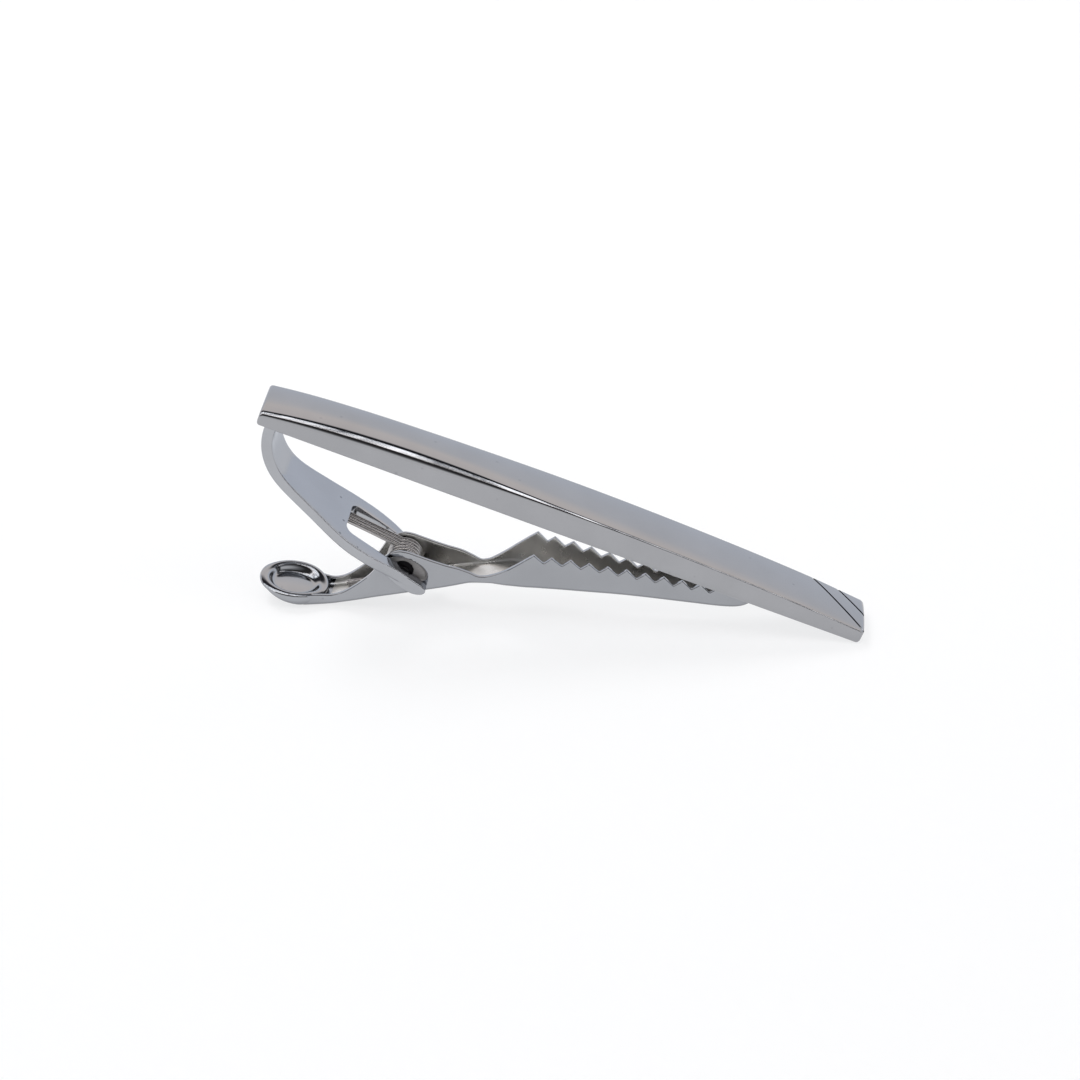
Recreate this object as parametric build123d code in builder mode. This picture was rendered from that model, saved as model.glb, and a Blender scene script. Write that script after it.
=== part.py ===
from build123d import *
from math import cos, sin, radians, hypot
import os

# Tie clip: an arched bar with a sprung, toothed alligator grip behind it.
#
# The clip stands on a table with the face of the bar up: it rests on the
# bottom of the thumb pad (left) and on the right-hand tip of the bar.
# +X runs along the table from the thumb pad to the tip, +Y is the width of
# the clip, +Z is up.  The origin is under the middle of the whole clip.
#
# Most profiles are drawn in the bar's own frame: u runs along the flat back
# of the bar from its left end, v stands square to that back, with the face
# of the bar on the positive side.

os.makedirs("parts", exist_ok=True)

# ---------------------------------------------------------------- dimensions
BAR_LENGTH = 60.0
BAR_WIDTH = 6.0
BAR_EDGE_R = 0.45          # soft edge between face and sides
BACK_EDGE_R = 0.20
BAR_TILT = 19.37           # fall of the bar towards the tip, degrees
BAR_X = -28.05             # left end of the bar's back, along the table
BAR_Z = 19.852             # left end of the bar's back, above the table

STRIP_T = 1.08             # bracket strip thickness
WINDOW_U = 11.15           # left end of the window
WINDOW_HALF = 2.45
EAR_IN = 2.15              # inner face of each ear
EAR_OUT = 3.20

PIVOT_U = 17.75
PIVOT_V = -10.30
PIN_R = 0.50
PIN_HALF = 2.90
PIN_CLEAR = 0.04

SHEET = 0.45               # sheet the lever and jaw are pressed from
WALL_OUT = 2.00            # half width of the lever at the pivot
DISH_A, DISH_B = 2.10, 1.12   # oval recess pressed into the walls at the pivot
DISH_U, DISH_V = 18.00, -9.75
DISH_DEPTH = 0.16
CORE_R = 1.30
CORE_DEPTH = 0.28

PAD_U = 8.45               # middle of the thumb pad
PAD_A = 3.30               # half length of the pad
PAD_B = 2.90               # half width of the pad
PAD_RIM = 0.55             # width of the rim round the dish
PAD_DISH = 0.62            # depth of the dish

WIRE = 0.56
COIL_R = 1.45              # to the middle of the wire
COIL_TURNS = 4
COIL_PITCH = 0.58
COIL_U = 17.50
COIL_V = -10.02
LEG_END_U = 10.60
LEG_Y = 0.45               # middle of the three legs
TAIL_Y = 0.60

# ---------------------------------------------------------------- frames
CT, ST = cos(radians(BAR_TILT)), sin(radians(BAR_TILT))
ALONG = Vector(CT, 0, -ST)
FRONT = Vector(ST, 0, CT)


def at(u, v, y=0.0):
    """Point of the bar's frame in the shared frame."""
    return Vector(BAR_X + u * CT + v * ST, y, BAR_Z - u * ST + v * CT)


def height(p):
    """Height of a point above the bar's back."""
    return (p - at(0, 0)).dot(FRONT)


def along(p):
    """Distance of a point along the bar."""
    return (p - at(0, 0)).dot(ALONG)


# side view: sketch x is u, sketch y is v, extrusion is along -Y
SIDE = Plane(origin=at(0, 0), x_dir=ALONG, z_dir=(0, -1, 0))
# plan view: sketch x is u, sketch y is the width, extrusion is along v
PLAN = Plane(origin=at(0, 0), x_dir=ALONG, z_dir=FRONT)


def shifted(points, distance):
    """Polyline moved sideways (to its left for a positive distance)."""
    moved = []
    for i, p in enumerate(points):
        a = points[max(i - 1, 0)]
        b = points[min(i + 1, len(points) - 1)]
        dx, dy = b[0] - a[0], b[1] - a[1]
        n = hypot(dx, dy)
        moved.append((p[0] - dy / n * distance, p[1] + dx / n * distance))
    return moved


# ================================================================ bar
# arched face over a flat back, thickest a third of the way along
FACE = [(0.0, 1.42), (2.0, 1.74), (5.0, 2.11), (10.0, 2.50), (15.0, 2.70),
        (20.0, 2.77), (25.0, 2.75), (30.0, 2.68), (35.0, 2.58), (40.0, 2.44),
        (45.0, 2.26), (50.0, 2.03), (55.0, 1.72), (60.0, 1.34)]

# diagonal facet across the far corner of the tip
FACET_A = at(54.45, 1.75, 3.0)
FACET_B = at(60.00, 1.33, -2.75)
FACET_C = at(60.00, 1.10, 3.0)
facet_x = (FACET_B - FACET_A).normalized()
facet_n = (FACET_B - FACET_A).cross(FACET_C - FACET_A).normalized()
if facet_n.dot(FRONT) < 0:
    facet_n = facet_n * -1
FACET = Plane(origin=FACET_A, x_dir=facet_x, z_dir=facet_n)
FACET_LINE = 1.95          # engraved line, distance from the facet's edge

with BuildPart() as front_bar:
    with BuildSketch(SIDE) as bar_profile:
        with BuildLine():
            Polyline((0.0, FACE[0][1]), (0.0, 0.0), (BAR_LENGTH, 0.0),
                     (BAR_LENGTH, FACE[-1][1]))
            Spline(*FACE)
        make_face()
    extrude(amount=BAR_WIDTH / 2, both=True)
    fillet([e for e in front_bar.edges()
            if height(e.position_at(0.0)) > 1.0 and height(e.position_at(1.0)) > 1.0
            and along(e.position_at(0.5)) < 59.0],
           BAR_EDGE_R)
    fillet([e for e in front_bar.edges()
            if abs(height(e.position_at(0.0))) < 0.01
            and abs(height(e.position_at(1.0))) < 0.01], BACK_EDGE_R)
    split(bisect_by=FACET, keep=Keep.BOTTOM)
    side_sign = 1 if (FACET_C - FACET_A).dot(FACET.y_dir) > 0 else -1
    with BuildSketch(FACET) as facet_groove:
        with Locations((3.8, side_sign * FACET_LINE)):
            Rectangle(2.8, 0.18)
    extrude(amount=-0.10, mode=Mode.SUBTRACT)
front_bar.part.label = "front_bar"
export_step(front_bar.part, "parts/front_bar.step")

# ================================================================ bracket
# bent strip: drops from the left end of the bar, sweeps right and widens
# into hips round a window; its prongs fold down into two ears
STRIP_IN = [(1.92, 0.0), (1.93, -0.9), (2.22, -2.2), (2.95, -3.50),
            (3.95, -4.50), (5.0, -5.16), (6.0, -5.62), (7.0, -6.02),
            (8.0, -6.40), (9.0, -6.79), (10.0, -7.17), (11.0, -7.53),
            (12.0, -7.87), (13.0, -8.17), (14.0, -8.46), (15.0, -8.76),
            (16.0, -9.06), (17.0, -9.42), (18.2, -9.85)]
STRIP_OUT = shifted(STRIP_IN, -STRIP_T)
STRIP_OUT[0] = (STRIP_OUT[0][0], 0.0)

STRIP_HALF = [(0.0, 2.50), (2.5, 2.52), (4.2, 2.56), (5.5, 2.74), (7.0, 3.08),
              (8.5, 3.46), (10.0, 3.86), (11.2, 4.12), (12.4, 4.24),
              (13.6, 4.22), (14.8, 4.06), (15.8, 3.80), (16.8, 3.46),
              (17.6, 3.26), (18.4, 3.20)]

EAR = [(14.4, -8.62), (16.0, -9.06), (17.2, -9.50), (18.2, -9.85),
       (19.2, -10.16), (19.95, -10.42), (20.28, -10.74), (20.22, -11.08),
       (19.85, -11.34), (19.2, -11.48), (18.5, -11.42), (17.7, -11.20),
       (16.6, -10.74), (15.4, -10.20), (14.2, -9.66)]

with BuildPart() as bracket:
    with BuildSketch(SIDE) as strip_side:
        with BuildLine():
            Spline(*STRIP_IN)
            Line(STRIP_IN[-1], STRIP_OUT[-1])
            Spline(*STRIP_OUT)
            Line(STRIP_OUT[0], STRIP_IN[0])
        make_face()
    extrude(amount=5.0, both=True)
    with BuildSketch(PLAN.offset(-14.0)) as strip_plan:
        with BuildLine():
            Spline(*STRIP_HALF)
            Line(STRIP_HALF[-1], (STRIP_HALF[-1][0], -STRIP_HALF[-1][1]))
            Spline(*[(u, -w) for u, w in STRIP_HALF])
            Line((STRIP_HALF[0][0], -STRIP_HALF[0][1]), STRIP_HALF[0])
        make_face()
    extrude(amount=15.0, mode=Mode.INTERSECT)
    # window, open at the pivot end between the prongs
    with BuildSketch(PLAN.offset(-14.0)) as window_plan:
        with BuildLine():
            Polyline((WINDOW_U, -WINDOW_HALF), (15.2, -WINDOW_HALF),
                     (16.8, -EAR_IN), (21.0, -EAR_IN), (21.0, EAR_IN),
                     (16.8, EAR_IN), (15.2, WINDOW_HALF),
                     (WINDOW_U, WINDOW_HALF), (WINDOW_U, -WINDOW_HALF))
        make_face()
        fillet(window_plan.vertices().filter_by(
            lambda p: abs(p.X - WINDOW_U) < 0.01), 0.85)
    extrude(amount=12.0, mode=Mode.SUBTRACT)
    # ears outside the lever walls
    for y_face in (-EAR_IN, EAR_OUT):
        with BuildSketch(Plane(origin=at(0, 0, y_face), x_dir=ALONG,
                               z_dir=(0, -1, 0))) as ear_side:
            with BuildLine():
                Polyline(*EAR, EAR[0])
            make_face()
        extrude(amount=EAR_OUT - EAR_IN)
    # coined relief under the window's end, where the spring legs bear
    with BuildSketch(Plane(origin=at(0, 0, LEG_Y), x_dir=ALONG,
                           z_dir=(0, -1, 0))) as leg_relief:
        with BuildLine():
            Polyline((9.4, -8.10), (9.4, -9.6), (12.0, -9.6), (12.0, -8.12),
                     (11.0, -8.16), (10.2, -8.14), (9.4, -8.10))
        make_face()
    extrude(amount=3 * WIRE / 2 + 0.12, both=True, mode=Mode.SUBTRACT)
    # blind holes for the pivot pin
    with BuildSketch(Plane(origin=at(PIVOT_U, PIVOT_V, PIN_HALF), x_dir=ALONG,
                           z_dir=(0, -1, 0))) as pin_seat:
        Circle(PIN_R)
    extrude(amount=2 * PIN_HALF, mode=Mode.SUBTRACT)
bracket.part.label = "bracket"
export_step(bracket.part, "parts/bracket.step")

# ================================================================ lever + jaw
# one pressed channel: thumb pad, neck, two walls with round cheeks at the
# pivot, waist, and a tapering toothed jaw
UNDER = [(4.80, -17.02), (5.3, -17.12), (6.0, -17.28), (7.0, -17.44), (8.2, -17.54),
         (9.4, -17.50), (10.5, -17.30), (11.5, -17.00), (12.4, -16.60),
         (13.7, -15.80), (15.7, -14.42), (17.7, -13.15), (20.7, -11.24),
         (22.7, -9.97), (24.3, -8.98), (25.2, -8.55), (26.4, -8.02),
         (27.9, -7.50), (31.2, -6.62), (35.5, -5.55), (39.9, -4.42),
         (44.3, -3.30), (47.4, -2.44), (48.7, -1.90), (49.5, -1.35)]
RIM = [(4.80, -16.94), (11.2, -15.80), (11.9, -15.65), (12.6, -15.23),
       (13.2, -14.62), (13.8, -13.78), (14.45, -12.70), (14.95, -11.64),
       (15.20, -10.70), (15.36, -9.90), (15.70, -9.15), (16.25, -8.55),
       (16.9, -8.22), (17.8, -8.10), (19.4, -8.10), (21.0, -8.05),
       (22.6, -7.92), (23.6, -7.98), (24.4, -8.08), (25.0, -7.84),
       (25.7, -7.20), (26.4, -6.40), (27.2, -5.30), (27.9, -4.28)]
TEETH = [(28.51, -3.44), (29.66, -3.98), (30.17, -3.20), (31.35, -3.70),
         (31.95, -2.86), (33.12, -3.42), (33.69, -2.64), (34.90, -3.18),
         (35.50, -2.40), (36.66, -2.96), (37.26, -2.10), (38.42, -2.68),
         (39.05, -1.85), (40.18, -2.38), (40.80, -1.56), (41.93, -2.10),
         (42.54, -1.27), (43.62, -1.80), (44.28, -0.98), (45.35, -1.50),
         (46.00, -0.62), (46.95, -1.08), (47.60, -0.24), (48.40, -0.62),
         (49.20, -0.70)]

PAD_OVAL = [(PAD_U - PAD_A * cos(radians(a)), PAD_B * sin(radians(a)))
            for a in range(0, 131, 10)]
PLAN_HALF = PAD_OVAL + [
    (11.25, 2.03), (11.75, 1.93), (12.3, 1.87), (13.0, 1.86), (13.8, 1.89),
    (14.6, 1.95), (15.4, WALL_OUT), (21.5, WALL_OUT), (22.6, 1.94),
    (23.6, 1.84), (24.5, 1.79), (25.1, 1.86), (25.8, 2.06), (26.5, 2.26),
    (27.3, 2.40), (28.4, 2.42), (30.2, 2.21), (32.0, 1.98), (33.8, 1.77),
    (35.5, 1.57), (37.0, 1.41), (38.5, 1.30), (42.0, 1.16), (46.0, 1.04),
    (48.1, 0.96), (48.75, 0.80), (49.2, 0.55), (49.45, 0.28), (49.55, 0.0)]

# hollow of the channel, a sheet's thickness inside the outside faces
FLOOR = shifted([p for p in UNDER if 11.5 <= p[0] <= 48.0], SHEET)
HOLLOW_HALF = [(u, w - SHEET) for u, w in PLAN_HALF if 12.1 <= u <= 48.3]

with BuildPart() as channel_hollow:
    with BuildSketch(SIDE) as hollow_side:
        with BuildLine():
            Polyline((11.95, -16.05), *FLOOR[1:], (48.45, -1.55), (48.45, 1.0),
                     (22.0, 1.0), (11.95, -12.0), (11.95, -16.05))
        make_face()
    extrude(amount=4.0, both=True)
    with BuildSketch(PLAN.offset(-20.0)) as hollow_plan:
        with BuildLine():
            Polyline(*HOLLOW_HALF, *[(u, -w) for u, w in HOLLOW_HALF[::-1]],
                     HOLLOW_HALF[0])
        make_face()
    extrude(amount=30.0, mode=Mode.INTERSECT)

PAD_SLOPE = 10.7           # rise of the pad's rim in the bar's frame
pad_x = ALONG * cos(radians(PAD_SLOPE)) + FRONT * sin(radians(PAD_SLOPE))
pad_n = FRONT * cos(radians(PAD_SLOPE)) - ALONG * sin(radians(PAD_SLOPE))
PAD = Plane(origin=at(PAD_U - 0.05, -16.265), x_dir=pad_x, z_dir=pad_n)

with BuildPart() as jaw_lever:
    with BuildSketch(SIDE) as lever_side:
        with BuildLine():
            Polyline(UNDER[0], *RIM, *TEETH, UNDER[-1])
            Polyline(*UNDER)
        make_face()
    extrude(amount=4.0, both=True)
    with BuildSketch(PLAN.offset(-20.0)) as lever_plan:
        with BuildLine():
            Polyline(*PLAN_HALF)
            Polyline(*[(u, -w) for u, w in PLAN_HALF])
        make_face()
    extrude(amount=30.0, mode=Mode.INTERSECT)
    add(channel_hollow.part, mode=Mode.SUBTRACT)
    # dish of the thumb pad
    for depth, inset in ((0.3, PAD_RIM - 0.12), (-PAD_DISH, PAD_RIM + 0.30)):
        with BuildSketch(PAD.offset(depth)):
            with BuildLine():
                Polyline(*[((PAD_A - inset) * cos(radians(a)),
                            (PAD_B - inset) * sin(radians(a)))
                           for a in range(0, 360, 12)], close=True)
            make_face()
    loft(ruled=True, mode=Mode.SUBTRACT)
    # pressed recess round the pivot on both walls
    for y_face, way in ((-WALL_OUT, -1), (WALL_OUT, 1)):
        with BuildSketch(Plane(origin=at(PIVOT_U, PIVOT_V, y_face),
                               x_dir=ALONG, z_dir=(0, way, 0))) as recess:
            with Locations((DISH_U - PIVOT_U, way * (PIVOT_V - DISH_V))):
                Ellipse(DISH_A, DISH_B)
        extrude(amount=-DISH_DEPTH, mode=Mode.SUBTRACT)
        with BuildSketch(Plane(origin=at(PIVOT_U, PIVOT_V, y_face),
                               x_dir=ALONG, z_dir=(0, way, 0))) as core:
            Circle(CORE_R)
        extrude(amount=-CORE_DEPTH, mode=Mode.SUBTRACT)
    # bearing holes
    with BuildSketch(Plane(origin=at(PIVOT_U, PIVOT_V, 4.0), x_dir=ALONG,
                           z_dir=(0, -1, 0))) as bearing:
        Circle(PIN_R + PIN_CLEAR)
    extrude(amount=8.0, mode=Mode.SUBTRACT)
jaw_lever.part.label = "jaw_lever"
export_step(jaw_lever.part, "parts/jaw_lever.step")

# ================================================================ pivot pin
with BuildPart() as pivot_pin:
    with BuildSketch(Plane(origin=at(PIVOT_U, PIVOT_V, PIN_HALF), x_dir=ALONG,
                           z_dir=(0, -1, 0))) as pin_round:
        Circle(PIN_R)
    extrude(amount=2 * PIN_HALF)
    chamfer(pivot_pin.edges().filter_by(GeomType.CIRCLE), 0.08)
pivot_pin.part.label = "pivot_pin"
export_step(pivot_pin.part, "parts/pivot_pin.step")

# ================================================================ spring
# wound coil with three straight legs that bear under the window's end
coil_len = COIL_TURNS * COIL_PITCH
LEG_TIP_V = -8.16 - WIRE / 2 - 0.01

with BuildPart() as torsion_spring:
    with BuildLine() as coil_line:
        Helix(pitch=COIL_PITCH, height=coil_len, radius=COIL_R,
              center=at(COIL_U, COIL_V, -coil_len / 2), direction=(0, 1, 0))
    with BuildSketch(Plane(origin=coil_line.line @ 0,
                           z_dir=coil_line.line % 0)) as coil_wire:
        Circle(WIRE / 2)
    sweep(is_frenet=True)
    for k in (-1, 0, 1):
        y_leg = LEG_Y + k * WIRE * 0.98
        with BuildLine() as leg_line:
            Line(at(COIL_U + 0.10, COIL_V + COIL_R - 0.02, y_leg),
                 at(LEG_END_U, LEG_TIP_V, y_leg))
        with BuildSketch(Plane(origin=leg_line.line @ 0,
                               z_dir=leg_line.line % 0)) as leg_wire:
            Circle(WIRE / 2)
        sweep()
torsion_spring.part.label = "torsion_spring"
export_step(torsion_spring.part, "parts/torsion_spring.step")

# short tail of the spring lying on the channel floor, moves with the lever
with BuildPart() as spring_tail:
    with BuildLine() as tail_line:
        Line(at(15.70, -13.54, TAIL_Y), at(13.30, -15.10, TAIL_Y))
    with BuildSketch(Plane(origin=tail_line.line @ 0,
                           z_dir=tail_line.line % 0)) as tail_wire:
        Circle(WIRE / 2)
    sweep()
spring_tail.part.label = "spring_tail"
export_step(spring_tail.part, "parts/spring_tail.step")
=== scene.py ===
"""Tie clip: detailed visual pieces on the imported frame, floor, light and camera."""

import math

import bmesh
import bpy
import numpy as np
from mathutils import Matrix, Vector


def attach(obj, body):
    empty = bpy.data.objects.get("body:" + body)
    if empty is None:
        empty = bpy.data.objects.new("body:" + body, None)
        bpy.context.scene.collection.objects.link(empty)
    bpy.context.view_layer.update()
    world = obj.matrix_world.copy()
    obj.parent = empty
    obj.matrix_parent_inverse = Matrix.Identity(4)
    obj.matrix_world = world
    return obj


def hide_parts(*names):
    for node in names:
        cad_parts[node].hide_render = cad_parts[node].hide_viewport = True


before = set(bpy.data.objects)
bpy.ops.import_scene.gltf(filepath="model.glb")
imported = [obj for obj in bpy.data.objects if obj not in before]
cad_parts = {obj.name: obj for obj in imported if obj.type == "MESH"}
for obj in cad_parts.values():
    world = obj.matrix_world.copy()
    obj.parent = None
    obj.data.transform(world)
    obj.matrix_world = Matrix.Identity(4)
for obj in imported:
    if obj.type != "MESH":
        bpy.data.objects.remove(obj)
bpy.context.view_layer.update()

# ------------------------------------------------------------------ frames
# Pieces are drawn in millimetres in the bar's own frame: u along its flat
# back from the left end, v square to that back, y across.
TILT = math.radians(19.37)
CT, ST = math.cos(TILT), math.sin(TILT)
X0, Z0 = -28.05, 19.852


def P(u, v, y=0.0):
    """Bar's own frame to the shared frame, in millimetres."""
    return Vector((X0 + u * CT + v * ST, y, Z0 - u * ST + v * CT))


def pchip(points):
    """Smooth curve through (u, value) points that doesn't overshoot them."""
    x = np.array([p[0] for p in points], float)
    y = np.array([p[1] for p in points], float)
    h = np.diff(x)
    d = np.diff(y) / h
    m = np.zeros(len(x))
    m[0], m[-1] = d[0], d[-1]
    for i in range(1, len(x) - 1):
        if d[i - 1] * d[i] > 0:
            w1, w2 = 2 * h[i] + h[i - 1], h[i] + 2 * h[i - 1]
            m[i] = (w1 + w2) / (w1 / d[i - 1] + w2 / d[i])

    def f(t):
        t = min(max(t, x[0]), x[-1])
        i = int(min(max(np.searchsorted(x, t) - 1, 0), len(x) - 2))
        s = (t - x[i]) / h[i]
        return float((1 + 2 * s) * (1 - s) ** 2 * y[i] + s * (1 - s) ** 2 * h[i] * m[i]
                     + s * s * (3 - 2 * s) * y[i + 1] + s * s * (s - 1) * h[i] * m[i + 1])
    return f


def smooth_curve(points):
    """Natural cubic through (u, value) points."""
    x = np.array([p[0] for p in points], float)
    y = np.array([p[1] for p in points], float)
    n = len(x)
    h = np.diff(x)
    a = np.zeros((n, n))
    b = np.zeros(n)
    a[0, 0] = a[-1, -1] = 1
    for i in range(1, n - 1):
        a[i, i - 1], a[i, i], a[i, i + 1] = h[i - 1], 2 * (h[i - 1] + h[i]), h[i]
        b[i] = 6 * ((y[i + 1] - y[i]) / h[i] - (y[i] - y[i - 1]) / h[i - 1])
    m = np.linalg.solve(a, b)

    def f(t):
        t = min(max(t, x[0]), x[-1])
        i = int(min(max(np.searchsorted(x, t) - 1, 0), n - 2))
        d0, d1 = x[i + 1] - t, t - x[i]
        return float(m[i] * d0 ** 3 / (6 * h[i]) + m[i + 1] * d1 ** 3 / (6 * h[i])
                     + (y[i] / h[i] - m[i] * h[i] / 6) * d0
                     + (y[i + 1] / h[i] - m[i + 1] * h[i] / 6) * d1)
    return f


def step01(a, b, t):
    s = min(max((t - a) / (b - a), 0.0), 1.0)
    return s * s * (3 - 2 * s)


# ------------------------------------------------------------------ mesh tools
def loft(rings, cap=True):
    """Closed skin over equal rings of points."""
    bm = bmesh.new()
    vr = [[bm.verts.new(p) for p in ring] for ring in rings]
    n = len(rings[0])
    for a, b in zip(vr[:-1], vr[1:]):
        for i in range(n):
            j = (i + 1) % n
            bm.faces.new((a[i], a[j], b[j], b[i]))
    if cap:
        bm.faces.new(vr[0])
        bm.faces.new(vr[-1])
    return bm


def tidy(bm, dist=1e-4):
    bmesh.ops.remove_doubles(bm, verts=bm.verts, dist=dist)
    bmesh.ops.dissolve_degenerate(bm, edges=bm.edges, dist=1e-5)
    bmesh.ops.recalc_face_normals(bm, faces=bm.faces)


def as_object(name, bm):
    """Object still in millimetres; to_metres() finishes it."""
    me = bpy.data.meshes.new(name)
    bm.to_mesh(me)
    bm.free()
    ob = bpy.data.objects.new(name, me)
    bpy.context.scene.collection.objects.link(ob)
    return ob


def applied(ob):
    """Bakes the modifiers into the mesh."""
    dg = bpy.context.evaluated_depsgraph_get()
    me = bpy.data.meshes.new_from_object(ob.evaluated_get(dg), preserve_all_data_layers=True, depsgraph=dg)
    ob.modifiers.clear()
    old = ob.data
    ob.data = me
    bpy.data.meshes.remove(old)


def combine(ob, other, op):
    m = ob.modifiers.new("cut", "BOOLEAN")
    m.operation = op
    m.solver = "EXACT"
    m.object = other
    applied(ob)
    old = other.data
    bpy.data.objects.remove(other, do_unlink=True)
    bpy.data.meshes.remove(old)


def bevel(ob, width, segments=3, angle=35):
    m = ob.modifiers.new("soft_edges", "BEVEL")
    m.width = width
    m.segments = segments
    m.limit_method = "ANGLE"
    m.angle_limit = math.radians(angle)
    m.miter_outer = "MITER_ARC"
    m.harden_normals = False
    applied(ob)


def to_metres(ob, angle=32.0):
    bm = bmesh.new()
    bm.from_mesh(ob.data)
    tidy(bm, 2e-4)
    bm.to_mesh(ob.data)
    bm.free()
    ob.data.transform(Matrix.Scale(0.001, 4))
    for p in ob.data.polygons:
        p.use_smooth = True
    ob.data.set_sharp_from_angle(angle=math.radians(angle))
    ob.data.update()
    return ob


def plate(name, outline, y0, y1, soft=0.12, segments=3):
    """Flat plate of that (u, v) outline between two widths, with rounded edges."""
    pts = np.array(outline, float)
    area = 0.5 * np.sum(pts[:, 0] * np.roll(pts[:, 1], -1) - np.roll(pts[:, 0], -1) * pts[:, 1])
    if area < 0:
        pts = pts[::-1]
    t = np.roll(pts, -1, 0) - np.roll(pts, 1, 0)
    t /= np.linalg.norm(t, axis=1)[:, None]
    inward = np.stack([-t[:, 1], t[:, 0]], 1)
    rings = []
    for k in range(segments + 1):
        a = math.pi / 2 * k / segments
        q = pts + inward * soft * (1 - math.sin(a))
        rings.append([P(u, v, y0 + soft * (1 - math.cos(a))) for u, v in q])
    for k in range(segments, -1, -1):
        a = math.pi / 2 * k / segments
        q = pts + inward * soft * (1 - math.sin(a))
        rings.append([P(u, v, y1 - soft * (1 - math.cos(a))) for u, v in q])
    bm = loft(rings)
    tidy(bm)
    return as_object(name, bm)


def closed_spline(points, count):
    pts = np.array(points + points[:1], float)
    s = np.concatenate([[0], np.cumsum(np.linalg.norm(np.diff(pts, axis=0), axis=1))])
    ext = np.concatenate([s[:-1] - s[-1], s, s[1:] + s[-1]])
    px = np.concatenate([pts[:-1], pts, pts[1:]])
    fu = smooth_curve(list(zip(ext, px[:, 0])))
    fv = smooth_curve(list(zip(ext, px[:, 1])))
    return [(fu(t), fv(t)) for t in np.linspace(0, s[-1], count, endpoint=False)]


def tube(points, radius, sides=20):
    """Round wire along points, with rounded ends."""
    pts = [Vector(p) for p in points]
    tang = [(pts[min(i + 1, len(pts) - 1)] - pts[max(i - 1, 0)]).normalized() for i in range(len(pts))]
    ref = Vector((0, 1, 0)) if abs(tang[0].y) < 0.9 else Vector((1, 0, 0))
    nrm = (ref - tang[0] * ref.dot(tang[0])).normalized()
    ang = np.linspace(0, 2 * math.pi, sides, endpoint=False)
    rings = []

    def ring(p, a, b, r):
        return [p + (a * math.cos(t) + b * math.sin(t)) * r for t in ang]
    for i, p in enumerate(pts):
        if i:
            nrm = tang[i - 1].rotation_difference(tang[i]) @ nrm
            nrm = (nrm - tang[i] * nrm.dot(tang[i])).normalized()
        b = tang[i].cross(nrm)
        if i == 0:
            for k in (80, 55, 28):
                c, s = math.cos(math.radians(k)), math.sin(math.radians(k))
                rings.append(ring(p - tang[0] * radius * 0.5 * s, nrm, b, radius * c))
        rings.append(ring(p, nrm, b, radius))
        if i == len(pts) - 1:
            for k in (28, 55, 80):
                c, s = math.cos(math.radians(k)), math.sin(math.radians(k))
                rings.append(ring(p + tang[-1] * radius * 0.5 * s, nrm, b, radius * c))
    return loft(rings)


# ------------------------------------------------------------------ the bar
FACE = [(0.0, 1.42), (2.0, 1.74), (5.0, 2.11), (10.0, 2.50), (15.0, 2.70),
        (20.0, 2.77), (25.0, 2.75), (30.0, 2.68), (35.0, 2.58), (40.0, 2.44),
        (45.0, 2.26), (50.0, 2.03), (55.0, 1.72), (60.0, 1.34)]
face_h = smooth_curve(FACE)
edge_r = pchip([(0, 0.56), (4, 0.78), (9, 0.98), (14, 1.04), (19, 0.92), (24, 0.66),
                (29, 0.40), (35, 0.24), (44, 0.15), (60, 0.11)])
CROWN = 0.12
BULGE = 2.4
HALF = 3.0


def bar_ring(u, side, under, over):
    """Section of the bar at u; side, under and over pull its faces in near the ends."""
    w, b = HALF - side, under
    top = face_h(u) + 0.08 - over
    r = min(edge_r(u), w * 0.5)
    rb = 0.16
    lean = BULGE * CROWN / HALF
    pts = []
    for k in range(9):
        pts.append((-w + rb + (2 * w - 2 * rb) * k / 8, b))
    for k in range(1, 5):
        a = math.pi / 2 * k / 4
        pts.append((w - rb + rb * math.sin(a), b + rb - rb * math.cos(a)))
    top_edge = top - CROWN
    for k in range(1, 5):
        pts.append((w, b + rb + (top_edge - r - b - rb) * k / 4))
    seg = 14
    for k in range(1, seg + 1):
        a = (math.pi / 2 - lean) * k / seg
        pts.append((w - r + r * math.cos(a), top_edge - r + r * math.sin(a)))
    y1 = w - r + r * math.cos(math.pi / 2 - lean)
    v1 = top_edge - r + r * math.sin(math.pi / 2 - lean)
    n = 26
    for k in range(1, n):
        y = y1 - 2 * y1 * k / n
        pts.append((y, v1 + (top - v1) * (1 - abs(y / y1) ** BULGE)))
    mirror = [(-y, v) for y, v in pts[9 + 4 + 4 - 1:9 + 4 + 4 + seg]]
    pts += mirror[::-1]
    for k in range(3, -1, -1):
        pts.append((-w, b + rb + (top_edge - r - b - rb) * k / 4))
    for k in range(3, 0, -1):
        a = math.pi / 2 * k / 4
        pts.append((-(w - rb + rb * math.sin(a)), b + rb - rb * math.cos(a)))
    return [P(u, v, y) for y, v in pts]


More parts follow.
